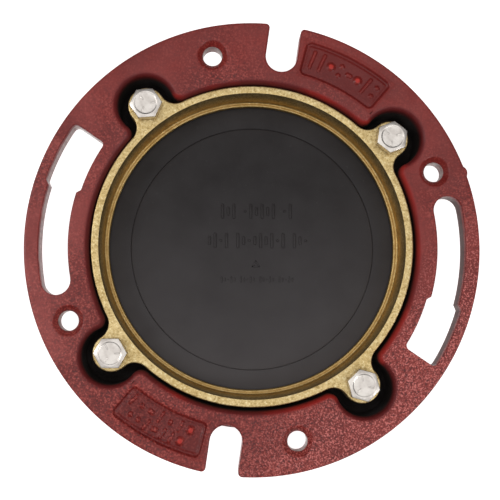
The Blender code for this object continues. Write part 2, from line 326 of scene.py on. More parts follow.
def clearance(points, loops):
    """Distance from each point to the nearest loop."""
    nearest = np.full(len(points), np.inf)
    for loop in loops:
        along = np.roll(loop, -1, axis=0) - loop
        length = (along**2).sum(axis=1)
        for part in range(0, len(points), 1000):
            off = points[part : part + 1000, None] - loop
            place = np.clip((off * along).sum(axis=2) / length, 0, 1)
            gaps = np.linalg.norm(off - place[..., None] * along, axis=2).min(axis=1)
            nearest[part : part + 1000] = np.minimum(nearest[part : part + 1000], gaps)
    return nearest


class Surface:
    """Strips between loops and flat areas inside loops, welded into one mesh."""

    def __init__(self):
        self.points = []
        self.faces = []
        self.looks = []
        self.count = 0

    def add(self, points, faces, look=0):
        self.points.append(np.asarray(points, float))
        self.faces += [[index + self.count for index in face] for face in faces]
        self.looks += [look] * len(faces)
        self.count += len(points)

    def strip(self, rows, look=0, closed=True):
        """Quads between consecutive rows of equally many points."""
        width = len(rows[0])
        faces = []
        for row in range(len(rows) - 1):
            low, high = row * width, (row + 1) * width
            for i in range(width if closed else width - 1):
                j = (i + 1) % width
                faces.append((low + i, low + j, high + j, high + i))
        self.add(np.concatenate(rows), faces, look)

    def area(self, loops, height, look=0, spacing=1.6 * MM, lift=None):
        """A flat, evenly triangulated area. lift(x, y, distance to the edge) raises its inner points."""
        outer = np.concatenate(loops)
        low, high = outer.min(axis=0), outer.max(axis=0)
        grid = []
        for k, y in enumerate(np.arange(low[1], high[1], spacing * math.sqrt(0.75))):
            x = np.arange(low[0] + (k % 2) * spacing / 2, high[0], spacing)
            grid.append(np.stack([x, np.full(len(x), y)], axis=1))
        inner = np.concatenate(grid)
        inner = inner[crossings(inner, loops) % 2 == 1]
        gaps = clearance(inner, loops)
        inner, gaps = inner[gaps > spacing * 0.55], gaps[gaps > spacing * 0.55]
        edges, start = [], 0
        for loop in loops:
            size = len(loop)
            edges += [(start + i, start + (i + 1) % size) for i in range(size)]
            start += size
        flat = np.concatenate([outer, inner])
        found = delaunay_2d_cdt([Vector(p) for p in flat / MM], edges, [], 0, 1e-7, True)
        corners = np.array([tuple(p) for p in found[0]]) * MM
        triangles = np.array(found[2])
        kept = triangles[crossings(corners[triangles].mean(axis=1), loops) % 2 == 1]
        heights = np.full(len(corners), float(height))
        sources = [source[0] if source else -1 for source in found[3]]
        for i, source in enumerate(sources):
            if source >= 0:
                corners[i] = flat[source]
            if lift and source >= len(outer):
                heights[i] += lift(*flat[source], gaps[source - len(outer)])
        self.add(np.column_stack([corners, heights]), kept.tolist(), look)

    def mesh(self, name, shift=(0, 0)):
        bm = bmesh.new()
        corners = [bm.verts.new(p) for p in np.concatenate(self.points) + (*shift, 0)]
        for face, look in zip(self.faces, self.looks):
            made = bm.faces.new([corners[i] for i in face])
            made.material_index = look
        bmesh.ops.remove_doubles(bm, verts=bm.verts, dist=WELD)
        bmesh.ops.dissolve_degenerate(bm, edges=bm.edges, dist=WELD)
        bmesh.ops.recalc_face_normals(bm, faces=bm.faces)
        mesh_data = bpy.data.meshes.new(name)
        bm.to_mesh(mesh_data)
        bm.free()
        mesh_data.shade_smooth()
        mesh_data.set_sharp_from_angle(angle=math.radians(42))
        return mesh_data


def at(loop, height):
    return np.column_stack([loop, np.full(len(loop), height)])


def edge_rows(loop, into, radius, height, side, steps=5):
    """Rows that round an edge, from wall to flat face. side is 1 for a top face, and -1 for a bottom one."""
    rows = []
    for k in range(steps + 1):
        angle = k / steps * math.pi / 2
        level = height - side * radius * (1 - math.sin(angle))
        rows.append(at(loop + into * radius * (1 - math.cos(angle)), level))
    return rows


def ear_rows(shape, radius, spread, height, steps=4):
    """Rows that round the ears' lower edge. The rounding fades out where an ear is less than spread tall."""
    weight = np.clip(shape.apart / spread, 0, 1)
    rows = []
    for k in range(steps + 1):
        angle = k / steps * math.pi / 2
        inward = shape.normals * weight * radius * (1 - math.cos(angle))
        rows.append(at(shape.points - inward, height + radius * (1 - math.sin(angle))))
    return rows


def turned_rows(profile, count):
    return [at(circle(radius, count), height) for radius, height in profile]


def lay_ledges(surface, shape, rim, base, height, places, look=0):
    """The flat crescents between each ear's outline and the plain circle, each with its bolt hole."""
    for ear, place in zip(shape.ears, places):
        crescent = anticlockwise(np.concatenate([rim[ear], base[ear][-2:0:-1]]))
        surface.area([crescent, circle(HOLE_RADIUS, BOLT_POINTS, place)], height, look, 1.5 * MM)


def lay_ridge(surface, start, end, half, levels, steps):
    """A ridge with round ends. levels holds (share cut off its half width, height), from its foot up."""
    along = np.array(end) - np.array(start)
    heading = math.degrees(math.atan2(along[1], along[0]))
    rows = []
    for inset, level in levels:
        radius = half * (1 - inset)
        far_end = arc(end, radius, heading - 90, heading + 90, 1, steps)
        near_end = arc(start, radius, heading + 90, heading + 270, 1, steps)
        rows.append(at(np.concatenate([far_end, near_end]), level))
    surface.strip(rows)
    surface.add(rows[0], [range(len(rows[0]))])
    surface.add(rows[-1], [range(len(rows[-1]))])


def new_piece(name, mesh_data, materials, body, *nodes):
    obj = bpy.data.objects.new(name, mesh_data)
    bpy.context.scene.collection.objects.link(obj)
    for material in materials:
        mesh_data.materials.append(material)
    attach(obj, body)
    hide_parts(*nodes)
    return obj


# ---------------------------------------------------------------- the iron body
def cast_lift(x, y, gap):
    """The slight unevenness of a sand-cast face, fading out at its edges."""
    wave = noise.noise(Vector((x, y, 0)) / (9 * MM)) + 0.5 * noise.noise(Vector((x, y, 3)) / (3.5 * MM))
    return 0.09 * MM * wave * min(1, gap / (3 * MM))


def capsule(u, v, start, end, radius):
    """Distance from grid points to a rounded bar, below zero inside."""
    start, end = np.array(start), np.array(end)
    along = end - start
    length = max(float(along @ along), 1e-12)
    place = np.clip(((u - start[0]) * along[0] + (v - start[1]) * along[1]) / length, 0, 1)
    return np.hypot(u - start[0] - place * along[0], v - start[1] - place * along[1]) - radius


def smooth_step(value, low, high):
    place = np.clip((value - low) / (high - low), 0, 1)
    return place * place * (3 - 2 * place)


def mark_row(kinds, left, right, middle, reach):
    """A row of raised marks, as (start, end, radius, height) in the plaque's own plane."""
    marks = []
    for kind, u in zip(kinds, np.linspace(left, right, len(kinds))):
        along, radius, height, across, copies = MARKS[kind]
        for copy in copies:
            v = middle + copy * reach
            start = (u - along * MM, v - across * reach)
            end = (u + along * MM, v + across * reach)
            marks.append((start, end, radius * MM, height * MM))
    return marks


def tall_marks(width, height):
    kinds = ("bar", "bar", "button", "pair", "block", "button", "bar", "pair")
    return mark_row(kinds, -0.39 * width, 0.40 * width, 0, 0.24 * height)


def double_marks(width, height):
    kinds = ("button", "bar", "pip", "bar", "block", "pip", "bar")
    inner = mark_row(kinds, -0.33 * width, 0.40 * width, -0.18 * height, 0.12 * height)
    kinds = ("button", "bar", "bar", "block", "bar", "pip", "pip")
    outer = mark_row(kinds, -0.26 * width, 0.33 * width, 0.19 * height, 0.12 * height)
    return inner + outer


def lay_plaque(surface, turn, marks_of):
    """A sunk panel with raised marks, on its own fine grid. Returns the loop that the plate leaves for it."""
    inner, outer = PLAQUE_RADII
    middle = (inner + outer) / 2
    half_width = math.radians(PLAQUE_ANGLES[1] - PLAQUE_ANGLES[0]) / 2 * middle
    half_height = (outer - inner) / 2
    across = np.linspace(-half_width - PLAQUE_MARGIN, half_width + PLAQUE_MARGIN, 152)
    up = np.linspace(-half_height - PLAQUE_MARGIN, half_height + PLAQUE_MARGIN, 64)
    u, v = np.meshgrid(across, up)
    du = np.abs(u) - half_width + PLAQUE_CORNER
    dv = np.abs(v) - half_height + PLAQUE_CORNER
    corner = np.hypot(np.maximum(du, 0), np.maximum(dv, 0))
    outside = corner + np.minimum(np.maximum(du, dv), 0) - PLAQUE_CORNER
    sunk = -PLAQUE_DEPTH * (1 - smooth_step(outside, -0.7 * MM, 0.3 * MM))
    groove = -0.35 * MM * np.exp(-(((outside + 1.0 * MM) / (0.6 * MM)) ** 2))
    raised = np.zeros_like(u)
    for start, end, radius, height in marks_of(2 * half_width, 2 * half_height):
        mark = 1 - smooth_step(capsule(u, v, start, end, radius), -0.7 * radius, 0.3 * MM)
        raised = np.maximum(raised, height * mark)
    heights = TOP + sunk + groove + raised
    degrees = sum(PLAQUE_ANGLES) / 2 + turn - np.degrees(u / middle)
    grid = np.dstack([polar(1, degrees) * (middle + v)[..., None], heights])
    grid[[0, -1], :, 2] = TOP
    grid[:, [0, -1], 2] = TOP
    edge = np.concatenate([grid[0, :-1], grid[:-1, -1], grid[-1, :0:-1], grid[:0:-1, 0]])
    surface.strip(list(grid), PANEL, closed=False)
    return anticlockwise(edge[:, :2])


def lay_screw_hole(surface, angle):
    """A countersunk hole with a bare drilled wall. Returns its top and bottom loops."""
    centre = polar(SCREW_RADIUS, angle)
    sink_foot = TOP - SCREW_SINK_DEPTH
    bare = [(SCREW_HOLE_RADIUS + 0.4 * MM, UNDERSIDE), (SCREW_HOLE_RADIUS, UNDERSIDE + 0.4 * MM)]
    bare += [(SCREW_HOLE_RADIUS, UNDERSIDE + 3 * MM), (SCREW_HOLE_RADIUS, sink_foot - 0.2 * MM)]
    bare.append((SCREW_HOLE_RADIUS + 0.15 * MM, sink_foot))
    cone = [bare[-1], (SCREW_SINK_RADIUS - 0.4 * MM, TOP - 0.55 * MM), (SCREW_SINK_RADIUS, TOP - 0.2 * MM)]
    cone += [(SCREW_SINK_RADIUS + 0.35 * MM, TOP - 0.04 * MM), (SCREW_SINK_RADIUS + 0.7 * MM, TOP)]
    surface.strip([at(circle(r, SCREW_POINTS, centre), z) for r, z in bare], IRON)
    surface.strip([at(circle(r, SCREW_POINTS, centre), z) for r, z in cone], PAINT)
    return circle(cone[-1][0], SCREW_POINTS, centre), circle(bare[0][0], SCREW_POINTS, centre)


def lay_through_slot(surface, loop, into, radius, wall_look):
    """A slot or rim whose wall goes through the plate, with round edges. Returns its top and bottom loops."""
    below = edge_rows(loop, into, radius * 0.6, UNDERSIDE, -1)
    above = edge_rows(loop, into, radius, TOP, 1)
    painted = at(loop, TOP - PAINT_RUN)
    surface.strip(below, PAINT)
    surface.strip([below[0], painted], wall_look)
    surface.strip([painted] + above, PAINT)
    return above[-1][:, :2], below[-1][:, :2]


def lay_well(surface):
    """The mouth with its pockets, and the socket down to its floor. Returns the top loop and the last row."""
    shape = EaredCircle(SOCKET_RADIUS, POCKET_CIRCLE, POCKET_RADIUS, POCKET_NOSE)
    mouth = edge_rows(shape.points, shape.normals, MOUTH_ROUND, TOP, 1, 7)
    foot = ear_rows(shape, 1.5 * MM, 1.5 * MM, POCKET_FLOOR)
    surface.strip(mouth[::-1] + foot, WELL)
    lay_ledges(surface, shape, foot[-1][:, :2], shape.base, POCKET_FLOOR, BOLT_HOLES, WELL)
    wall = [at(shape.base, POCKET_FLOOR), at(shape.base, SOCKET_FLOOR + MM)]
    wall.append(at(shape.base * (1 - 0.3 * MM / SOCKET_RADIUS), SOCKET_FLOOR + 0.3 * MM))
    wall.append(at(shape.base * (1 - MM / SOCKET_RADIUS), SOCKET_FLOOR))
    surface.strip(wall, WELL)
    return mouth[-1][:, :2], wall[-1]


def hub_scale(height):
    """The hub tapers a little towards its foot."""
    draft = (HUB_RADIUS - HUB_FOOT_RADIUS) / HUB_RADIUS
    return 1 - draft * (1 - height / UNDERSIDE)


def lay_hub(surface):
    """The hub's outside with its lugs. Returns its foot row and the loop where it meets the plate."""
    shape = EaredCircle(HUB_RADIUS, POCKET_CIRCLE, LUG_RADIUS, LUG_FILLET)
    foot = [at(shape.base * (HUB_FOOT_RADIUS - gap) / HUB_RADIUS, height) for gap, height in
            ((1.0 * MM, 0), (0.3 * MM, 0.3 * MM), (0, 1.0 * MM))]
    foot.append(at(shape.base * hub_scale(LUG_FOOT), LUG_FOOT))
    surface.strip(foot)
    weight = np.clip(shape.apart / (2.5 * MM), 0, 1)
    lugs = []
    for k in range(6):
        angle = k / 5 * math.pi / 2
        inward = shape.normals * weight * 2.5 * MM * (1 - math.sin(angle))
        height = LUG_FOOT + 2.5 * MM * (1 - math.cos(angle))
        lugs.append(at((shape.points - inward) * hub_scale(height), height))
    lay_ledges(surface, shape, lugs[0][:, :2], foot[-1][:, :2], LUG_FOOT, BOLT_HOLES)
    lugs.append(at(shape.points * hub_scale(UNDERSIDE - HUB_FILLET), UNDERSIDE - HUB_FILLET))
    for k in range(1, 6):
        angle = k / 5 * math.pi / 2
        spread = shape.normals * HUB_FILLET * (1 - math.cos(angle))
        lugs.append(at(shape.points + spread, UNDERSIDE - HUB_FILLET * (1 - math.sin(angle))))
    surface.strip(lugs)
    return foot[0], lugs[-1][:, :2]


def make_body(materials):
    surface = Surface()
    rim_loop = rim_outline()
    rim_top, rim_low = lay_through_slot(surface, rim_loop, -outward(rim_loop), RIM_ROUND, PAINT)
    tops, lows = [rim_top], [rim_low]
    for turn, marks in ((0, tall_marks), (180, double_marks)):
        slot = slot_outline(turn)
        slot_top, slot_low = lay_through_slot(surface, slot, outward(slot), SLOT_ROUND, SLOT_IRON)
        tops += [slot_top, lay_plaque(surface, turn, marks)]
        lows.append(slot_low)
    for angle in SCREW_ANGLES:
        hole_top, hole_low = lay_screw_hole(surface, angle)
        tops.append(hole_top)
        lows.append(hole_low)
    mouth, socket_row = lay_well(surface)
    hub_foot, hub_loop = lay_hub(surface)
    for place in BOLT_HOLES:
        hole = circle(HOLE_RADIUS, BOLT_POINTS, place)
        surface.strip([at(hole, POCKET_FLOOR), at(hole, LUG_FOOT)], IRON)
    edge = [(MM, 0), (0.3 * MM, 0.3 * MM), (0, MM)]
    bore = [(PIPE_HOLE_RADIUS + gap, SOCKET_FLOOR - drop) for gap, drop in edge]
    bore += [(PIPE_HOLE_RADIUS + gap, drop) for gap, drop in edge[::-1]]
    bore_loop = circle(bore[0][0], PIPE_POINTS)
    surface.area([socket_row[:, :2], bore_loop], SOCKET_FLOOR, WELL, 2.4 * MM)
    surface.strip(turned_rows(bore, PIPE_POINTS), PAINT)
    surface.area([hub_foot[:, :2], bore_loop], 0, PAINT, 2.4 * MM)
    surface.area(tops + [mouth], TOP, PAINT, 1.5 * MM, cast_lift)
    surface.area(lows + [hub_loop], UNDERSIDE, PAINT, 2.2 * MM)
    return new_piece("flange_casting", surface.mesh("flange_casting"), materials, "flange", "flange_body")


# ---------------------------------------------------------------- the brass ring
def make_ring(materials):
    surface = Surface()
    shape = EaredCircle(RING_OUTER, BOLT_CIRCLE, EAR_RADIUS, EAR_FILLET, 0.9 * MM)
    outer = edge_rows(shape.points, -shape.normals, 0.6 * MM, RING_TOP, 1)
    under = ear_rows(shape, 0.8 * MM, MM, EAR_FOOT)
    surface.strip(outer[::-1] + under)
    lay_ledges(surface, shape, under[-1][:, :2], shape.base, EAR_FOOT, BOLT_PLACES)
    foot = [at(shape.base, EAR_FOOT), at(shape.base, RING_FOOT + 0.5 * MM)]
    foot.append(at(shape.base * (1 - 0.5 * MM / RING_OUTER), RING_FOOT))
    surface.strip(foot)
    holes = []
    for place in BOLT_PLACES:
        hole = circle(HOLE_RADIUS, BOLT_POINTS, place)
        surface.strip([at(hole, RING_TOP), at(hole, EAR_FOOT)])
        holes.append(hole)
    inside = [(RING_INNER + 0.5 * MM, RING_FOOT), (RING_INNER, RING_FOOT + 0.5 * MM)]
    inside += [(RING_INNER, LIP_TOP - 0.5 * MM), (RING_INNER + 0.15 * MM, LIP_TOP - 0.15 * MM)]
    inside += [(RING_INNER + 0.45 * MM, LIP_TOP), (RING_INNER + 0.8 * MM, LIP_TOP + 0.02 * MM)]
    inside.append((COVE_CENTRE + 0.35 * MM, LIP_TOP - 0.12 * MM))
    for k in range(3, 10):
        angle = k / 9 * math.pi / 2
        level = LIP_TOP - 0.25 * MM + COVE_ROUND * (1 - math.cos(angle))
        inside.append((COVE_CENTRE + COVE_ROUND * math.sin(angle), level))
    for gap, drop in ((-0.35, 2.4), (-0.12, 0.7), (0, 0.25), (0.1, 0.07), (0.35, 0)):
        inside.append((RING_INNER_TOP + gap * MM, RING_TOP - drop * MM))
    surface.strip(turned_rows(inside, RING_POINTS))
    surface.area([foot[-1][:, :2], circle(inside[0][0], RING_POINTS)], RING_FOOT, spacing=1.5 * MM)
    top_loops = [outer[-1][:, :2], circle(inside[-1][0], RING_POINTS)] + holes
    surface.area(top_loops, RING_TOP, spacing=0.9 * MM, lift=lambda x, y, gap: cast_lift(x, y, gap) * 0.5)
    mesh_data = surface.mesh("brass_ring", RING_CENTRE)
    return new_piece("brass_ring", mesh_data, materials, "ring", "compression_ring")


# ---------------------------------------------------------------- the rubber
def make_gasket(materials):
    low = GASKET_LOW[2]
    mark = CAP_RADIUS + KNIFE_GAP
    profile = [(mark, SHELF_FOOT + 0.4 * MM), (mark, GASKET_TOP - 0.2 * MM)]
    profile += [(mark + 0.12 * MM, GASKET_TOP - 0.06 * MM), (mark + 0.4 * MM, GASKET_TOP)]
    profile += [(mark + 4 * MM, GASKET_TOP), (RING_INNER - 1.6 * MM, GASKET_TOP)]
    profile += [(GASKET_OUTER - 0.6 * MM, GASKET_TOP - 0.02 * MM), (GASKET_OUTER, GASKET_TOP - 0.6 * MM)]
    ribs_low = low + 4 * MM
    for i, height in enumerate(np.linspace(GASKET_TOP - 3 * MM, ribs_low, 25)):
        profile.append((GASKET_OUTER - 0.35 * MM * (1 - math.cos(math.pi * i / 3)) / 2, height))
    profile += [(GASKET_OUTER - 0.1 * MM, low + 3 * MM), (GASKET_OUTER - 1.0 * MM, low + 0.3 * MM)]
    profile += [(GASKET_OUTER - 1.3 * MM, low), (GASKET_INNER + 1.6 * MM, low)]
    profile += [(GASKET_INNER + 1.2 * MM, low + 0.3 * MM), (GASKET_INNER, low + 3 * MM)]
    for i, height in enumerate(np.linspace(ribs_low, SHELF_FOOT - 2 * MM, 13)):
        profile.append((GASKET_INNER + 0.3 * MM * (1 - math.cos(math.pi * i / 2)) / 2, height))
    profile += [(GASKET_INNER, SHELF_FOOT - 0.8 * MM), (GASKET_INNER - 0.25 * MM, SHELF_FOOT - 0.2 * MM)]
    profile += [(GASKET_INNER - 0.9 * MM, SHELF_FOOT), (mark + 0.5 * MM, SHELF_FOOT)]
    surface = Surface()
    surface.strip(turned_rows(profile + profile[:1], RUBBER_POINTS))
    gasket = new_piece("rubber_gasket", surface.mesh("rubber_gasket"), materials, "flange", "gasket")
    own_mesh(gasket)
    return gasket


def lay_rib(surface, start, end, width, height):
    """A low rounded rib that stands on the cap's face."""
    steps = ((0, -0.15 * MM), (0, 0.4 * height), (0.12, 0.8 * height), (0.35, height))
    levels = [(inset, CAP_HIGH[2] + level) for inset, level in steps]
    lay_ridge(surface, start, end, width / 2, levels, 5)


def lay_rib_line(surface, left, right, middle, height, pitch, width, pattern):
    """A line of upright ribs and dots. The pattern's letters stand for a tall, a short and a round rib."""
    count = int((right - left) / pitch)
    start = (left + right - (count - 1) * pitch) / 2
    reach = {"t": 0.5, "s": 0.25, "r": 0.0}
    for i in range(count):
        kind = pattern[i % len(pattern)]
        if kind == " ":
            continue
        x = start + i * pitch
        half = reach[kind] * (height - width)
        lay_rib(surface, (x, middle - half), (x, middle + half + 1e-6), width, 0.45 * width)


def make_cap(materials):
    low, high = CAP_LOW[2], CAP_HIGH[2]
    radius = CAP_RADIUS
    profile = [(radius - 0.5 * MM, low), (radius, low + 0.5 * MM), (radius, high - 0.2 * MM)]
    profile += [(radius - 0.12 * MM, high - 0.06 * MM), (radius - 0.4 * MM, high)]
    surface = Surface()
    surface.strip(turned_rows(profile, RUBBER_POINTS))
    top_loop, low_loop = circle(profile[-1][0], RUBBER_POINTS), circle(profile[0][0], RUBBER_POINTS)
    surface.area([top_loop], high, lift=lambda x, y, gap: cast_lift(x, y, gap) * 0.6)
    surface.area([low_loop], low, spacing=3 * MM)
    lay_rib_line(surface, -14.5 * MM, 17.5 * MM, 15.0 * MM, 6.2 * MM, 2.3 * MM, 1.0 * MM, "tst rts")
    lay_rib_line(surface, -19.0 * MM, 23.0 * MM, 3.0 * MM, 6.2 * MM, 2.3 * MM, 1.0 * MM, "strt tsrst")
    lay_rib_line(surface, -13.5 * MM, 17.0 * MM, -12.8 * MM, 2.6 * MM, 1.3 * MM, 0.55 * MM, "tsrts ")
    for turn in (90, 210, 330):
        first, second = polar(1.5 * MM, turn), polar(1.5 * MM, turn + 120)
        lay_rib(surface, first + (1.2 * MM, -6.8 * MM), second + (1.2 * MM, -6.8 * MM), 0.6 * MM, 0.26 * MM)
    return new_piece("rubber_test_cap", surface.mesh("rubber_test_cap"), materials, "cap", "test_cap")


# ---------------------------------------------------------------- the bolts
def lay_head(surface):
    """A hex head whose corners a cone has cut back, with a dished top face and a washer face below."""
    degrees = np.arange(HEAD_POINTS) * 360 / HEAD_POINTS
    hexagon = HEAD_HALF_FLATS / np.cos(np.radians((degrees + 30) % 60 - 30))
    washer = 0.35 * MM
    cone_foot, cone_top = HEAD_HEIGHT - 0.50 * MM, HEAD_HEIGHT - 0.10 * MM
    dish = HEAD_HEIGHT - 0.24 * MM
    levels = [(5.2 * MM, 0), (5.3 * MM, 0.05 * MM), (5.3 * MM, washer)]
    levels += [(HEAD_HALF_FLATS + 0.15 * MM, washer + 0.02 * MM), (9 * MM, washer + 0.35 * MM)]
    for share, level in zip(np.linspace(0, 1, 9), np.linspace(cone_foot, cone_top, 9)):
        levels.append((6.45 * MM - 1.35 * MM * share**1.2, level))
    for reach, drop in ((4.85, 0.03), (4.7, 0), (4.45, 0.01), (4.3, 0.09), (4.05, 0.20), (3.8, 0.24)):
        levels.append((reach * MM, HEAD_HEIGHT - drop * MM))
    levels += [(1.5 * MM, dish), (0.3 * MM, dish)]
    rows = [at(polar(1, degrees) * np.minimum(hexagon, reach)[:, None], level) for reach, level in levels]
    surface.strip(rows)
    surface.add(rows[0], [range(HEAD_POINTS)])
    surface.add(rows[-1], [range(HEAD_POINTS)])
    tick = [(0, dish - 0.1 * MM), (0, dish + 0.1 * MM), (0.3, dish + 0.17 * MM)]
    for turn in (90, 210, 330):
        lay_ridge(surface, polar(1.9 * MM, turn), polar(3.5 * MM, turn), 0.28 * MM, tick, 4)


def lay_thread(surface):
    """The shank with its helical thread, from inside the head to the chamfered tip."""
    per_turn = 8
    degrees = np.arange(BOLT_POINTS) * 360 / BOLT_POINTS
    steps = int(BOLT_LENGTH / BOLT_PITCH * per_turn)
    rows = [at(polar(BOLT_RADIUS * 0.93, degrees), 0.2 * MM)]
    for k in range(steps + 1):
        down = BOLT_LENGTH * k / steps
        phase = down / BOLT_PITCH + degrees / 360
        depth = 0.72 * MM * np.abs((phase % 1) * 2 - 1) ** 1.1
        fade = smooth_step(down, 0.5 * MM, 3 * MM)
        chamfer = min(0.9 * MM, max(0, down - BOLT_LENGTH + 0.9 * MM))
        radius = np.minimum(BOLT_RADIUS - depth * fade, BOLT_RADIUS - chamfer)
        rows.append(at(polar(1, degrees) * radius[:, None], -down))
    surface.strip(rows)
    surface.add(rows[0], [range(BOLT_POINTS)])
    surface.add(rows[-1], [range(BOLT_POINTS)])


def make_bolts(materials):
    surface = Surface()
    lay_head(surface)
    lay_thread(surface)
    shared = surface.mesh("hex_bolt")
    for material in materials:
        shared.materials.append(material)
    for name in BOLTS:
        obj = bpy.data.objects.new(f"hex_{name}", shared)
        bpy.context.scene.collection.objects.link(obj)
        obj.location = BOLT_SEATS[name]
        obj.rotation_euler.z = math.radians(HEAD_TURNS[name])
        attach(obj, name)
        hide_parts(name)


# ---------------------------------------------------------------- materials
class Nodes:
    """A material's node tree, with short ways to add what the finishes share."""

    def __init__(self, name):
        self.material = bpy.data.materials.new(name)
        self.material.use_nodes = True
        self.tree = self.material.node_tree
        self.shader = self.tree.nodes["Principled BSDF"]
        self.place = self.tree.nodes.new("ShaderNodeTexCoord").outputs["Object"]

    def link(self, source, target):
        self.tree.links.new(source, target)

    def noise(self, size, detail=4.0, rough=0.5, stretch=None):
        """Noise whose lumps are about size across, in metres."""
        node = self.tree.nodes.new("ShaderNodeTexNoise")
        node.inputs["Scale"].default_value = 0.5 / size
        node.inputs["Detail"].default_value = detail
        node.inputs["Roughness"].default_value = rough
        place = self.place
        if stretch:
            mapping = self.tree.nodes.new("ShaderNodeMapping")
            mapping.inputs["Scale"].default_value = stretch
            self.link(place, mapping.inputs["Vector"])
            place = mapping.outputs["Vector"]
        self.link(place, node.inputs["Vector"])
        return node.outputs["Fac"]

    def axis(self, name):
        """How far along the object's X, Y or Z axis a point lies."""
        node = self.tree.nodes.new("ShaderNodeSeparateXYZ")
        self.link(self.place, node.inputs["Vector"])
        return node.outputs[name]

    def span(self, source, low, high, to_low, to_high):
        """Maps a range of values to another, and holds it inside it."""
        node = self.tree.nodes.new("ShaderNodeMapRange")
        for key, value in (("From Min", low), ("From Max", high), ("To Min", to_low), ("To Max", to_high)):
            node.inputs[key].default_value = value
        self.link(source, node.inputs["Value"])
        return node.outputs["Result"]

    def math(self, operation, first, second):
        node = self.tree.nodes.new("ShaderNodeMath")
        node.operation = operation
        for value, target in ((first, node.inputs[0]), (second, node.inputs[1])):
            if isinstance(value, (int, float)):
                target.default_value = value
            else:
                self.link(value, target)
        return node.outputs["Value"]

    def mix(self, factor, first, second):
        """Blends two colours, each a tuple or another node's output."""
        node = self.tree.nodes.new("ShaderNodeMix")
        node.data_type = "RGBA"
        self.link(factor, node.inputs["Factor"])
        for value, target in ((first, node.inputs[6]), (second, node.inputs[7])):
            if isinstance(value, tuple):
                target.default_value = (*value, 1)
            else:
                self.link(value, target)
        return node.outputs[2]

    def bump(self, height, depth, under=None):
        node = self.tree.nodes.new("ShaderNodeBump")
        node.inputs["Strength"].default_value = 1.0
        node.inputs["Distance"].default_value = depth
        self.link(height, node.inputs["Height"])
        if under:
            self.link(under, node.inputs["Normal"])
        return node.outputs["Normal"]

    def set(self, **values):
        for key, value in values.items():
            target = self.shader.inputs[key.replace("_", " ")]
            if isinstance(value, (int, float)):
                target.default_value = value
            elif isinstance(value, tuple):
                target.default_value = (*value, 1)
            else:
                self.link(value, target)
        return self.material


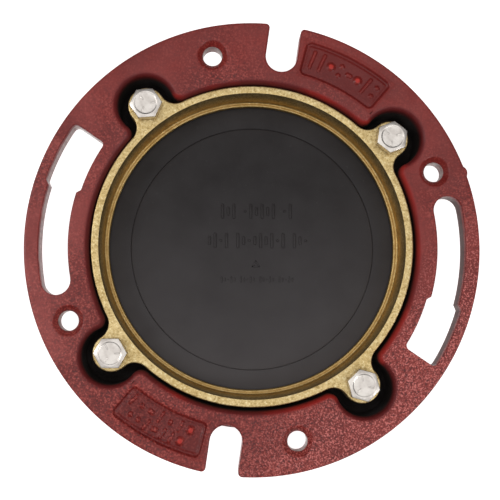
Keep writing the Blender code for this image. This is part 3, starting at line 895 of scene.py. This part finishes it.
def red_paint(name="red_paint", fades=None, panel=False):
    """Thin semi-gloss red paint on sand-cast iron, grainy and mottled.

    It carries painted glints at the plate's lower right and a painted pale sheen at its left. It can carry
    painted shade and highlight on the mouth's rounded edge and darken with depth to near black, as painted
    shade, between two heights, or be a sunk panel's: painted shade in its sunk floor, with painted highlights
    on its raised marks.
    """
    nodes = Nodes(name)
    patches = nodes.span(nodes.noise(9 * MM, 3), 0.35, 0.65, 0, 1)
    grain = nodes.noise(0.36 * MM, 1.5, 0.5)
    lumps = nodes.noise(2.6 * MM, 3, 0.55)
    colour = nodes.mix(patches, (0.190, 0.014, 0.011), (0.250, 0.022, 0.017))
    lean = nodes.span(nodes.axis("Y"), -70 * MM, 80 * MM, 0.10, -0.12)
    sway = nodes.span(nodes.math("ADD", nodes.noise(20 * MM, 2), lean), 0.40, 0.62, 0.2, 1)
    # Painted glints: bright pinkish specks on the paint's grain, stronger towards -Y.
    painted_grain_glint = nodes.math("MULTIPLY", nodes.span(grain, 0.54, 0.66, 0, 0.6), sway)
    colour = nodes.mix(painted_grain_glint, colour, (0.55, 0.110, 0.085))
    pit = nodes.math("MULTIPLY", nodes.span(grain, 0.34, 0.46, 0.8, 0), sway)
    colour = nodes.mix(pit, colour, (0.075, 0.006, 0.006))
    # Painted glints: pale pink specks across the plate's lower right corner.
    corner = nodes.span(nodes.math("SUBTRACT", nodes.axis("X"), nodes.axis("Y")), 62 * MM, 100 * MM, 0, 1)
    painted_glints = nodes.math("MULTIPLY", nodes.span(nodes.noise(0.30 * MM, 1.5), 0.52, 0.64, 0, 0.8), corner)
    colour = nodes.mix(painted_glints, colour, (0.76, 0.205, 0.180))
    # Painted sheen: a pale pinkish haze over the plate's left side, in patches.
    painted_sheen = nodes.math("MULTIPLY", nodes.span(nodes.axis("X"), -58 * MM, -74 * MM, 0, 0.4), patches)
    colour = nodes.mix(painted_sheen, colour, (0.42, 0.095, 0.085))
    rough = nodes.span(nodes.noise(4 * MM, 4), 0.3, 0.7, 0.28, 0.48)
    if fades:
        x, y = nodes.axis("X"), nodes.axis("Y")
        square = nodes.math("ADD", nodes.math("MULTIPLY", x, x), nodes.math("MULTIPLY", y, y))
        near = nodes.span(square, (66.5 * MM) ** 2, (69 * MM) ** 2, 1, 0)
        # Painted shade and highlight on the mouth's rounded edge: dark red, with patches of brighter
        # saturated red as painted highlight, more of them towards +X.
        edge_highlight_patches = nodes.math("ADD", nodes.noise(12 * MM, 2), nodes.span(x, -60 * MM, 60 * MM, -0.14, 0.16))
        painted_edge_highlight_mask = nodes.math("MULTIPLY", nodes.span(edge_highlight_patches, 0.42, 0.62, 0, 1), near)
        painted_edge_shade_and_highlight = nodes.mix(painted_edge_highlight_mask, (0.125, 0.005, 0.006), (0.330, 0.009, 0.005))
        mouth_edge_band = nodes.span(nodes.axis("Z"), TOP, TOP - 0.4 * MM, 0, 0.95)
        colour = nodes.mix(mouth_edge_band, colour, painted_edge_shade_and_highlight)
        rough = nodes.math("ADD", rough, nodes.math("MULTIPLY", mouth_edge_band, 0.22))
        # Painted shade: below the mouth's edge the paint darkens with depth to near black, down the pockets
        # and the socket.
        painted_depth_shade = nodes.span(nodes.axis("Z"), *fades, 0, 1)
        colour = nodes.mix(painted_depth_shade, colour, nodes.mix(grain, (0.008, 0.006, 0.006), (0.016, 0.011, 0.010)))
        rough = nodes.math("ADD", rough, nodes.math("MULTIPLY", painted_depth_shade, 0.3))
    if panel:
        # Painted shade: the panel's sunk floor is darker.
        painted_recess_shade = nodes.span(nodes.axis("Z"), TOP - 0.55 * MM, TOP - 0.05 * MM, 0.55, 0)
        colour = nodes.mix(painted_recess_shade, colour, (0.105, 0.007, 0.007))
        # Painted highlight: the raised marks' tops are a brighter red.
        painted_mark_highlight = nodes.span(nodes.axis("Z"), TOP + 0.02 * MM, TOP + 0.15 * MM, 0, 0.8)
        colour = nodes.mix(painted_mark_highlight, colour, (0.56, 0.030, 0.020))
    normal = nodes.bump(nodes.math("MULTIPLY", grain, sway), 0.20 * MM, nodes.bump(lumps, 0.16 * MM))
    specular = 0.32 if panel else 0.42
    return nodes.set(Base_Color=colour, Roughness=rough, Normal=normal, Specular_IOR_Level=specular)


def bare_iron(name="bare_iron", painted_shade_right=False):
    """Machined or ground iron under the paint: grey, streaked along the cut, with a little paint dust.

    It can carry painted shade, darker towards the plate's right-hand side.
    """
    nodes = Nodes(name)
    streaks = nodes.noise(0.7 * MM, 4, 0.6, (1, 1, 0.25))
    colour = nodes.mix(nodes.span(streaks, 0.35, 0.65, 0, 1), (0.46, 0.43, 0.42), (0.70, 0.67, 0.65))
    stain = nodes.span(nodes.noise(2.2 * MM, 3), 0.54, 0.68, 0, 0.6)
    colour = nodes.mix(stain, colour, (0.30, 0.13, 0.11))
    if painted_shade_right:
        # Painted shade: the iron darkens towards +X.
        right_side_shade = nodes.span(nodes.axis("X"), -40 * MM, 60 * MM, 0, 0.85)
        colour = nodes.mix(right_side_shade, colour, (0.085, 0.045, 0.040))
    rough = nodes.span(streaks, 0.3, 0.7, 0.45, 0.62)
    normal = nodes.bump(streaks, 0.02 * MM)
    return nodes.set(Base_Color=colour, Roughness=rough, Normal=normal, Metallic=0.6)


def cast_brass():
    """Pale yellow brass, blasted to a sparkling matte grain, with browner patches."""
    nodes = Nodes("cast_brass")
    grain = nodes.noise(0.42 * MM, 3, 0.65)
    patches = nodes.span(nodes.noise(6 * MM, 3), 0.35, 0.68, 0, 1)
    colour = nodes.mix(patches, (0.72, 0.55, 0.27), (0.63, 0.46, 0.20))
    dark = nodes.span(grain, 0.32, 0.48, 0.8, 0)
    colour = nodes.mix(dark, colour, (0.33, 0.22, 0.075))
    bright = nodes.span(grain, 0.54, 0.68, 0, 0.8)
    colour = nodes.mix(bright, colour, (0.92, 0.80, 0.48))
    # Painted shade: browner and darker from 4 mm below the ring's top down to its lip, all round.
    painted_cove_shade = nodes.span(nodes.axis("Z"), RING_TOP - 4 * MM, LIP_TOP + 0.5 * MM, 0, 0.6)
    colour = nodes.mix(painted_cove_shade, colour, (0.42, 0.25, 0.075))
    rough = nodes.span(nodes.noise(1.5 * MM, 3), 0.3, 0.7, 0.36, 0.56)
    normal = nodes.bump(grain, 0.10 * MM, nodes.bump(nodes.noise(1.6 * MM, 2), 0.12 * MM))
    return nodes.set(Base_Color=colour, Roughness=rough, Normal=normal, Metallic=1.0)


def black_rubber():
    """Moulded black rubber: nearly smooth, with a dusty bloom and fine tooling grain."""
    nodes = Nodes("black_rubber")
    bloom = nodes.span(nodes.noise(16 * MM, 4, 0.6), 0.35, 0.68, 0, 1)
    colour = nodes.mix(bloom, (0.0165, 0.0138, 0.0144), (0.0255, 0.0220, 0.0228))
    # Painted light: the rubber is lighter towards -Y.
    painted_light_lower = nodes.span(nodes.axis("Y"), 35 * MM, -50 * MM, 0, 0.55)
    colour = nodes.mix(painted_light_lower, colour, (0.100, 0.090, 0.092))
    dust = nodes.span(nodes.noise(0.9 * MM, 4, 0.7), 0.62, 0.78, 0, 0.5)
    colour = nodes.mix(dust, colour, (0.060, 0.056, 0.055))
    rough = nodes.span(nodes.noise(5 * MM, 3), 0.3, 0.7, 0.52, 0.68)
    normal = nodes.bump(nodes.noise(0.5 * MM, 3), 0.018 * MM)
    return nodes.set(Base_Color=colour, Roughness=rough, Normal=normal, Specular_IOR_Level=0.24)


def stainless_steel():
    """Bright cold-forged stainless with fine scratches and a few dull spots."""
    nodes = Nodes("stainless_steel")
    scratches = nodes.noise(0.5 * MM, 4, 0.6, (1, 0.14, 1))
    dull = nodes.span(nodes.noise(2.2 * MM, 3), 0.42, 0.66, 0, 1)
    colour = nodes.mix(dull, (0.76, 0.71, 0.66), (0.56, 0.51, 0.47))
    rough = nodes.math("ADD", nodes.span(scratches, 0.3, 0.7, 0.24, 0.40), nodes.math("MULTIPLY", dull, 0.10))
    normal = nodes.bump(scratches, 0.030 * MM)
    return nodes.set(Base_Color=colour, Roughness=rough, Normal=normal, Metallic=1.0)


# ---------------------------------------------------------------- floor, light and camera
def make_stage():
    bpy.ops.mesh.primitive_plane_add(size=FLOOR_SIDE, location=(0, 0, -FLOOR_DROP))
    floor = bpy.context.object
    floor.name = "floor"
    white = Nodes("floor_white").set(
        Base_Color=(0.88, 0.88, 0.88), Roughness=0.9, Emission_Color=(1.0, 1.0, 1.0), Emission_Strength=0.75)
    floor.data.materials.append(white)
    world = bpy.data.worlds.new("studio")
    bpy.context.scene.world = world
    world.use_nodes = True
    backdrop = world.node_tree.nodes["Background"]
    backdrop.inputs["Color"].default_value = (1, 1, 1, 1)
    seen = world.node_tree.nodes.new("ShaderNodeLightPath").outputs["Is Camera Ray"]
    strength = world.node_tree.nodes.new("ShaderNodeMapRange")
    strength.inputs["To Min"].default_value = WORLD_LIGHT
    strength.inputs["To Max"].default_value = WORLD_SEEN
    world.node_tree.links.new(seen, strength.inputs["Value"])
    world.node_tree.links.new(strength.outputs["Result"], backdrop.inputs["Strength"])
    for name, (place, size, power) in LAMPS.items():
        light = bpy.data.lights.new(name, "AREA")
        light.shape = "SQUARE"
        light.size = size
        light.energy = power
        lamp = bpy.data.objects.new(name, light)
        lamp.location = place
        lamp.rotation_euler = (-Vector(place)).to_track_quat("-Z", "Y").to_euler()
        bpy.context.scene.collection.objects.link(lamp)
    bpy.context.scene.view_settings.view_transform = "Standard"


def make_camera():
    camera_data = bpy.data.cameras.new("camera")
    camera_data.sensor_width = CAMERA_SENSOR
    camera_data.lens = CAMERA_SENSOR * CAMERA_REACH
    camera_data.clip_start = 0.01
    camera = bpy.data.objects.new("camera", camera_data)
    bpy.context.scene.collection.objects.link(camera)
    ahead = (CAMERA_TARGET - CAMERA_AT).normalized()
    right = ahead.cross(Vector((0, 1, 0))).normalized()
    upward = right.cross(ahead)
    facing = Matrix((right, upward, -ahead)).transposed()
    camera.matrix_world = Matrix.Translation(CAMERA_AT) @ facing.to_4x4()
    bpy.context.scene.camera = camera


def main():
    make_camera()
    make_stage()
    red, iron, rubber = red_paint(), bare_iron(), black_rubber()
    # The well's paint carries painted shade down the pockets and socket, and painted shade and highlight on
    # the mouth's edge.
    well = red_paint("well_paint", (TOP - 0.4 * MM, TOP - 5.5 * MM))
    # The panel's paint carries painted shade in its sunk floor and painted highlights on its marks.
    panel = red_paint("panel_paint", panel=True)
    # The slot walls' iron is painted darker towards the right, as painted shade.
    body = make_body([red, iron, well, panel, bare_iron("slot_iron", painted_shade_right=True)])
    ring = make_ring([cast_brass()])
    gasket = make_gasket([rubber])
    cap = make_cap([rubber])
    make_bolts([stainless_steel()])


main()
